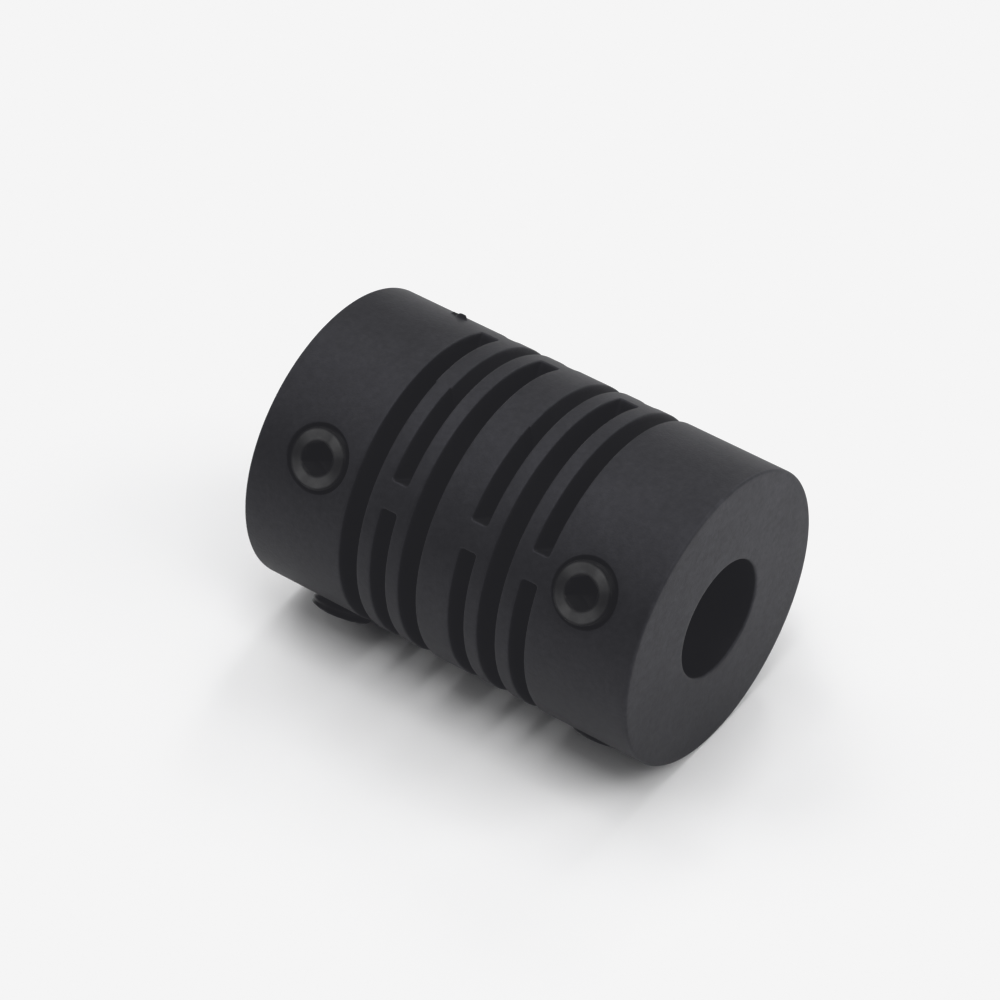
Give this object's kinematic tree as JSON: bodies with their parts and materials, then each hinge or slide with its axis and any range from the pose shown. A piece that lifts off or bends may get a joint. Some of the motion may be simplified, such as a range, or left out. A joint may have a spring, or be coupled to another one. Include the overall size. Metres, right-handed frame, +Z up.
{
  "type": "beam coupling",
  "caption": "Moulded beam coupling: two clamping hubs joined by thin rings and webs that flex, with set screws that grip a shaft in each end of the bore.",
  "frame": {"origin": "middle of the coupling, on the axis of its bore", "axes": "+X along the bore axis towards hub_b; +Z up with the coupling lying on a bench; the upper set screws face -Y, 36 degrees above horizontal"},
  "size_m": [0.022, 0.015, 0.015],
  "materials": {
    "moulding": "matte, glass-filled, moulded",
    "screw": "black oxide on turned steel"
  },
  "bodies": {
    "hub_a": {"hub_a": "moulding", "web_1_upper": "moulding", "web_1_lower": "moulding"},
    "ring_1": {"ring_1": "moulding", "web_2_upper": "moulding", "web_2_lower": "moulding"},
    "ring_2": {"ring_2": "moulding", "web_3_upper": "moulding", "web_3_lower": "moulding"},
    "centre_ring": {"centre_ring": "moulding"},
    "ring_3": {"ring_3": "moulding", "web_4_upper": "moulding", "web_4_lower": "moulding"},
    "ring_4": {"ring_4": "moulding", "web_5_upper": "moulding", "web_5_lower": "moulding"},
    "hub_b": {"hub_b": "moulding", "web_6_upper": "moulding", "web_6_lower": "moulding"},
    "screw_a_front": {"screw_a_front": "screw"},
    "screw_a_bottom": {"screw_a_bottom": "screw"},
    "screw_b_front": {"screw_b_front": "screw"},
    "screw_b_bottom": {"screw_b_bottom": "screw"}
  },
  "joints": [
    {"name": "slit_1_flex", "type": "hinge", "parent": "hub_a", "child": "ring_1", "pos_m": [-0.00485, 0, 0], "axis": [0, 0.5878, 0.809], "range_deg": [-1.25, 1.25], "deforming": ["web_1_upper", "web_1_lower"]},
    {"name": "slit_2_flex", "type": "hinge", "parent": "ring_1", "child": "ring_2", "pos_m": [-0.00312, 0, 0], "axis": [0, -0.809, 0.5878], "range_deg": [-2.5, 2.5], "deforming": ["web_2_upper", "web_2_lower"]},
    {"name": "slit_3_flex", "type": "hinge", "parent": "ring_2", "child": "centre_ring", "pos_m": [-0.00141, 0, 0], "axis": [0, 0.5878, 0.809], "range_deg": [-1.25, 1.25], "deforming": ["web_3_upper", "web_3_lower"]},
    {"name": "slit_4_flex", "type": "hinge", "parent": "centre_ring", "child": "ring_3", "pos_m": [0.00141, 0, 0], "axis": [0, -0.809, 0.5878], "range_deg": [-1.25, 1.25], "deforming": ["web_4_upper", "web_4_lower"]},
    {"name": "slit_5_flex", "type": "hinge", "parent": "ring_3", "child": "ring_4", "pos_m": [0.00312, 0, 0], "axis": [0, 0.5878, 0.809], "range_deg": [-2.5, 2.5], "deforming": ["web_5_upper", "web_5_lower"]},
    {"name": "slit_6_flex", "type": "hinge", "parent": "ring_4", "child": "hub_b", "pos_m": [0.00485, 0, 0], "axis": [0, -0.809, 0.5878], "range_deg": [-1.25, 1.25], "deforming": ["web_6_upper", "web_6_lower"]},
    {"name": "screw_a_front_travel", "type": "slide", "parent": "hub_a", "child": "screw_a_front", "axis": [0, -0.809, 0.5878], "range_m": [-0.00045, 0.0029]},
    {"name": "screw_a_bottom_travel", "type": "slide", "parent": "hub_a", "child": "screw_a_bottom", "axis": [0, -0.5878, -0.809], "range_m": [-0.00095, 0.0024]},
    {"name": "screw_b_front_travel", "type": "slide", "parent": "hub_b", "child": "screw_b_front", "axis": [0, -0.809, 0.5878], "range_m": [-0.0007, 0.00265]},
    {"name": "screw_b_bottom_travel", "type": "slide", "parent": "hub_b", "child": "screw_b_bottom", "axis": [0, -0.5878, -0.809], "range_m": [-0.0005, 0.00285]}
  ],
  "couplings": [
    {"joint": "slit_3_flex", "follows": "slit_1_flex", "ratio": 1},
    {"joint": "slit_6_flex", "follows": "slit_4_flex", "ratio": 1}
  ]
}
